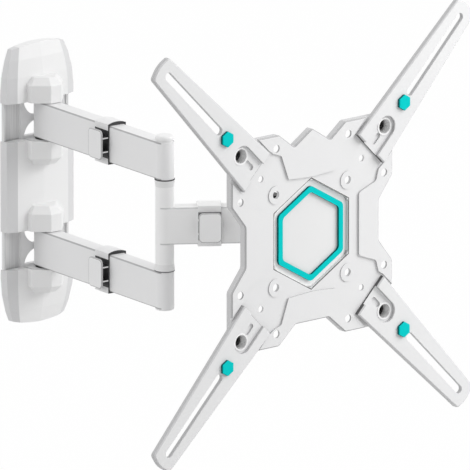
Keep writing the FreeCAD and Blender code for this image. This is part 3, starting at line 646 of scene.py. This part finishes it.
thread_tree, start, given = new_tree("bolt_thread", {
    "Radius": "NodeSocketFloat", "Pitch": "NodeSocketFloat", "Turns": "NodeSocketFloat",
    "Ridge": "NodeSocketFloat", "Coat": "NodeSocketMaterial"})
coil = start.add("GeometryNodeCurveSpiral", None, {
    "Resolution": 24, "Rotations": given["Turns"], "Start Radius": given["Radius"],
    "End Radius": given["Radius"], "Height": given["Pitch"] * given["Turns"]})
ridge = start.add("GeometryNodeCurvePrimitiveCircle", {"mode": "RADIUS"},
                  {"Resolution": 3, "Radius": given["Ridge"]})
thread = start.add("GeometryNodeCurveToMesh", None,
                   {"Curve": coil, "Profile Curve": ridge, "Fill Caps": True})
close_tree(thread_tree, given["Places"], thread, given["Coat"])
print("thread tree has", len(thread_tree.nodes), "nodes")

# %% [markdown]
# The result of a tree lives in a modifier. Baking it into a plain mesh keeps the piece when the modifier is
# gone, and lets it ride on a body of the mount. One helper does this for every tree: it makes the points,
# sets the inputs by their identifiers, reads the evaluated mesh and turns its faces outwards.

# %% Bake a tree onto points
def bake_tree(name, body, tree, places, settings):
    mesh = bpy.data.meshes.new(name + "_places")
    mesh.from_pydata([place for place, axis in places], [], [])
    stored = mesh.attributes.new("axis", "FLOAT_VECTOR", "POINT")
    for index, (place, axis) in enumerate(places):
        stored.data[index].vector = axis
    carrier = bpy.data.objects.new(name + "_places", mesh)
    bpy.context.scene.collection.objects.link(carrier)
    modifier = carrier.modifiers.new("build", "NODES")
    modifier.node_group = tree
    for item in tree.interface.items_tree:
        if item.in_out == "INPUT" and item.name in settings:
            modifier[item.identifier] = settings[item.name]
    shown = carrier.evaluated_get(bpy.context.evaluated_depsgraph_get())
    made = bpy.data.objects.new(name, bpy.data.meshes.new_from_object(shown))
    carrier.modifiers.clear()
    bpy.data.objects.remove(carrier)
    shell = bmesh.new()
    shell.from_mesh(made.data)
    bmesh.ops.remove_doubles(shell, verts=shell.verts, dist=1e-6)
    bmesh.ops.recalc_face_normals(shell, faces=shell.faces)
    shell.to_mesh(made.data)
    shell.free()
    bpy.context.scene.collection.objects.link(made)
    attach(made, body)
    print(name, "has", len(made.data.polygons), "faces on", body)
    return made


thread_inset = 0.0003


def tail_end(node, axis):
    """Middle of a bolt's far end along one axis, and the direction back to its nut."""
    low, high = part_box(node)
    middle = (low + high) / 2
    point = middle - axis * abs((high - low).dot(axis)) / 2
    return (point + axis * thread_inset, axis)


up = Vector((0, 0, 1))
inward = Vector((-1, 0, 0))
bolt_thread = {"Radius": 0.005, "Pitch": 0.00125, "Turns": 1.2, "Ridge": 0.0003, "Coat": zinc}
hinge_tails = [tail_end("upper_hinge_bolt", up), tail_end("lower_hinge_bolt", up)]
hinge_threads = bake_tree("hinge_bolt_threads", "wall_base", thread_tree, hinge_tails, bolt_thread)
head_thread = bake_tree("head_bolt_thread", "swivel_head", thread_tree, [tail_end("head_bolt", up)],
                        {**bolt_thread, "Coat": black_oxide})
tilt_thread = bake_tree("tilt_bolt_thread", "swivel_head", thread_tree, [tail_end("tilt_bolt", inward)],
                        {**bolt_thread, "Radius": 0.004})

# %% [markdown]
# The four black plate screws stand in the bright sleeves. Seen from the front their heads have a hexagon
# recess, and behind the plate their tails carry a finer thread. Both repeat at the same four places, which
# the box round all four screws gives: its corners lie half a head outside the middles.

# %% Recesses and threads of the plate screws
recess_tree, start, given = new_tree("hexagon_recess", {
    "Rim": "NodeSocketFloat", "Recess": "NodeSocketFloat", "Height": "NodeSocketFloat",
    "Coat": "NodeSocketMaterial"})
rim = start.add("GeometryNodeCurvePrimitiveCircle", {"mode": "RADIUS"},
                {"Resolution": 36, "Radius": given["Rim"]})
hexagon = start.add("GeometryNodeCurvePrimitiveCircle", {"mode": "RADIUS"},
                    {"Resolution": 6, "Radius": given["Recess"]})
both = start.add("GeometryNodeJoinGeometry", None, {})
for curve in (rim, hexagon):
    recess_tree.links.new(curve.output, both.output.node.inputs[0])
face = start.add("GeometryNodeFillCurve", None, {"Curve": both})
collar = start.add("GeometryNodeExtrudeMesh", None,
                   {"Mesh": face, "Offset Scale": given["Height"], "Individual": False})
underside = start.add("GeometryNodeFlipFaces", None, {"Mesh": face})
closed = start.add("GeometryNodeJoinGeometry", None, {})
for part in (collar, underside):
    recess_tree.links.new(part.output, closed.output.node.inputs[0])
close_tree(recess_tree, given["Places"], closed, given["Coat"])

low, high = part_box("arm_screws")
head_radius = 0.0065
recess_clearance = 0.00005
corners = [(x, z) for x in (low.x + head_radius, high.x - head_radius)
           for z in (low.z + head_radius, high.z - head_radius)]
out_of_plate = Vector((0, -1, 0))
head_places = [(Vector((x, low.y - recess_clearance, z)), out_of_plate) for x, z in corners]
tail_places = [(Vector((x, high.y - thread_inset, z)), out_of_plate) for x, z in corners]
recess_sizes = {"Rim": 0.0052, "Recess": 0.0032, "Height": 0.0009, "Coat": black_oxide}
screw_thread = {"Radius": 0.003, "Pitch": 0.001, "Turns": 2.4, "Ridge": 0.00022, "Coat": black_oxide}
screw_recesses = bake_tree("plate_screw_recesses", "screen_carrier", recess_tree, head_places, recess_sizes)
screw_threads = bake_tree("plate_screw_threads", "screen_carrier", thread_tree, tail_places, screw_thread)

# %% [markdown]
# The photograph was taken with a long lens, from the left and a little above, so far and near edges stay
# parallel. A camera twenty metres away with a very narrow angle gives that. Its aim is the point at the
# middle of the picture, and the width of the picture there is known from the plate's hole spacing.

# %% Camera
aim = Vector((0.1084, -0.2, -0.0404))
towards_camera = Vector((-0.637, -0.731, 0.245)).normalized()
picture_width = 0.4963
distance = 20.0
sensor_width = 36.0
camera = bpy.data.objects.new("camera", bpy.data.cameras.new("camera"))
camera.location = aim + towards_camera * distance
camera.rotation_euler = towards_camera.to_track_quat("Z", "Y").to_euler()
camera.data.sensor_width = sensor_width
camera.data.lens = sensor_width * distance / picture_width
camera.data.clip_end = 10 * distance
bpy.context.scene.collection.objects.link(camera)
bpy.context.scene.camera = camera
print("lens", round(camera.data.lens), "mm")

# %% [markdown]
# White things need shade to be seen at all. One large soft box on the right, as the camera sees it, is the
# main light. The rest is the room itself: an even fill, and a wide glow from the camera's side, from the
# left, from above and from behind. Four more lamps could do the same, but a glow needs only a direction and
# a strength. To the rays that show the background the room is plain white, so a white picture takes no extra
# light on the object.

# %% Light
object_middle = Vector((0.07, -0.2, 0.0))


def soft_box(name, offset, size, power):
    lamp = bpy.data.lights.new(name, "AREA")
    lamp.size = size
    lamp.energy = power
    box = bpy.data.objects.new(name, lamp)
    box.location = object_middle + Vector(offset)
    box.rotation_euler = Vector(offset).to_track_quat("Z", "Y").to_euler()
    box.visible_camera = False
    bpy.context.scene.collection.objects.link(box)
    print(name, "stands", round(Vector(offset).length, 2), "m away at", power, "W")


soft_box("right_soft_box", offset=(1.3, -1.3, 1.0), size=1.4, power=31.0)

world = bpy.data.worlds.new("studio")
world.use_nodes = True
bpy.context.scene.world = world
sky = world.node_tree.nodes["Background"]
direction = Socket(world.node_tree).add("ShaderNodeTexCoord", output="Generated")
glow_focus = 8.0


def glow(toward, strength):
    """Light from one side of the room, strongest straight ahead and fading out sideways."""
    facing = direction.add("ShaderNodeVectorMath", {"operation": "DOT_PRODUCT"},
                           {0: direction, 1: Vector(toward).normalized()}, "Value")
    return facing.sum("POWER", facing.positive(), glow_focus) * strength


def background_rays(tree):
    """1 for the rays that show the background itself: straight from the camera, or off a shiny piece."""
    path = Socket(tree).add("ShaderNodeLightPath", output="Is Camera Ray")
    rays = path.output.node.outputs
    return path + Socket(tree, rays["Is Glossy Ray"]) + Socket(tree, rays["Is Transmission Ray"])


fill = 0.31
from_camera_side = glow((-1.4, -1.4, 0.1), 0.58)
from_left = glow((-1.7, 0.7, 0.8), 1.77)
from_above = glow((0.0, -0.1, 2.0), 0.88)
from_behind = glow((0.6, 1.9, 0.5), 1.45)
room = fill + from_camera_side + from_left + from_above + from_behind
seen = background_rays(world.node_tree)
strength = room * (1 - seen) + seen
world.node_tree.links.new(strength.output, sky.inputs["Strength"])
sky.inputs["Color"].default_value = (1.0, 1.0, 1.0, 1.0)
bpy.context.scene.view_settings.view_transform = "Standard"
print("world fill", fill)

# %% [markdown]
# The mount hangs on a wall, so the floor lies well below it and only catches light and a faint shadow. To
# the rays that show the background it is almost pure white, as in a catalogue picture.

# %% Floor
floor_drop = 0.35
floor_radius = 5.0
floor_corners = 64
floor_white = 0.99
floor_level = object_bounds()[0][2] - floor_drop
turns = [2 * math.pi * corner / floor_corners for corner in range(floor_corners)]
floor_mesh = bpy.data.meshes.new("floor")
rim_points = [(floor_radius * math.cos(turn), floor_radius * math.sin(turn), floor_level) for turn in turns]
floor_mesh.from_pydata(rim_points, [], [tuple(range(floor_corners))])
floor = bpy.data.objects.new("floor", floor_mesh)
bpy.context.scene.collection.objects.link(floor)
floor_paint = bpy.data.materials.new("pale_floor")
floor_paint.use_nodes = True
tree = floor_paint.node_tree
matt = tree.nodes["Principled BSDF"]
matt.inputs["Roughness"].default_value = 0.8
matt.inputs["Base Color"].default_value = (0.6, 0.6, 0.6, 1.0)
seen = background_rays(tree)
shine = seen.add("ShaderNodeEmission", None, {"Color": (1.0, 1.0, 1.0, 1.0), "Strength": 1.0})
mixed = seen.add("ShaderNodeMixShader", None,
                 {0: seen * floor_white, 1: Socket(tree, matt.outputs[0]), 2: shine})
tree.links.new(mixed.output, tree.nodes["Material Output"].inputs["Surface"])
floor_mesh.materials.append(floor_paint)
print("floor at", round(floor_level, 3))
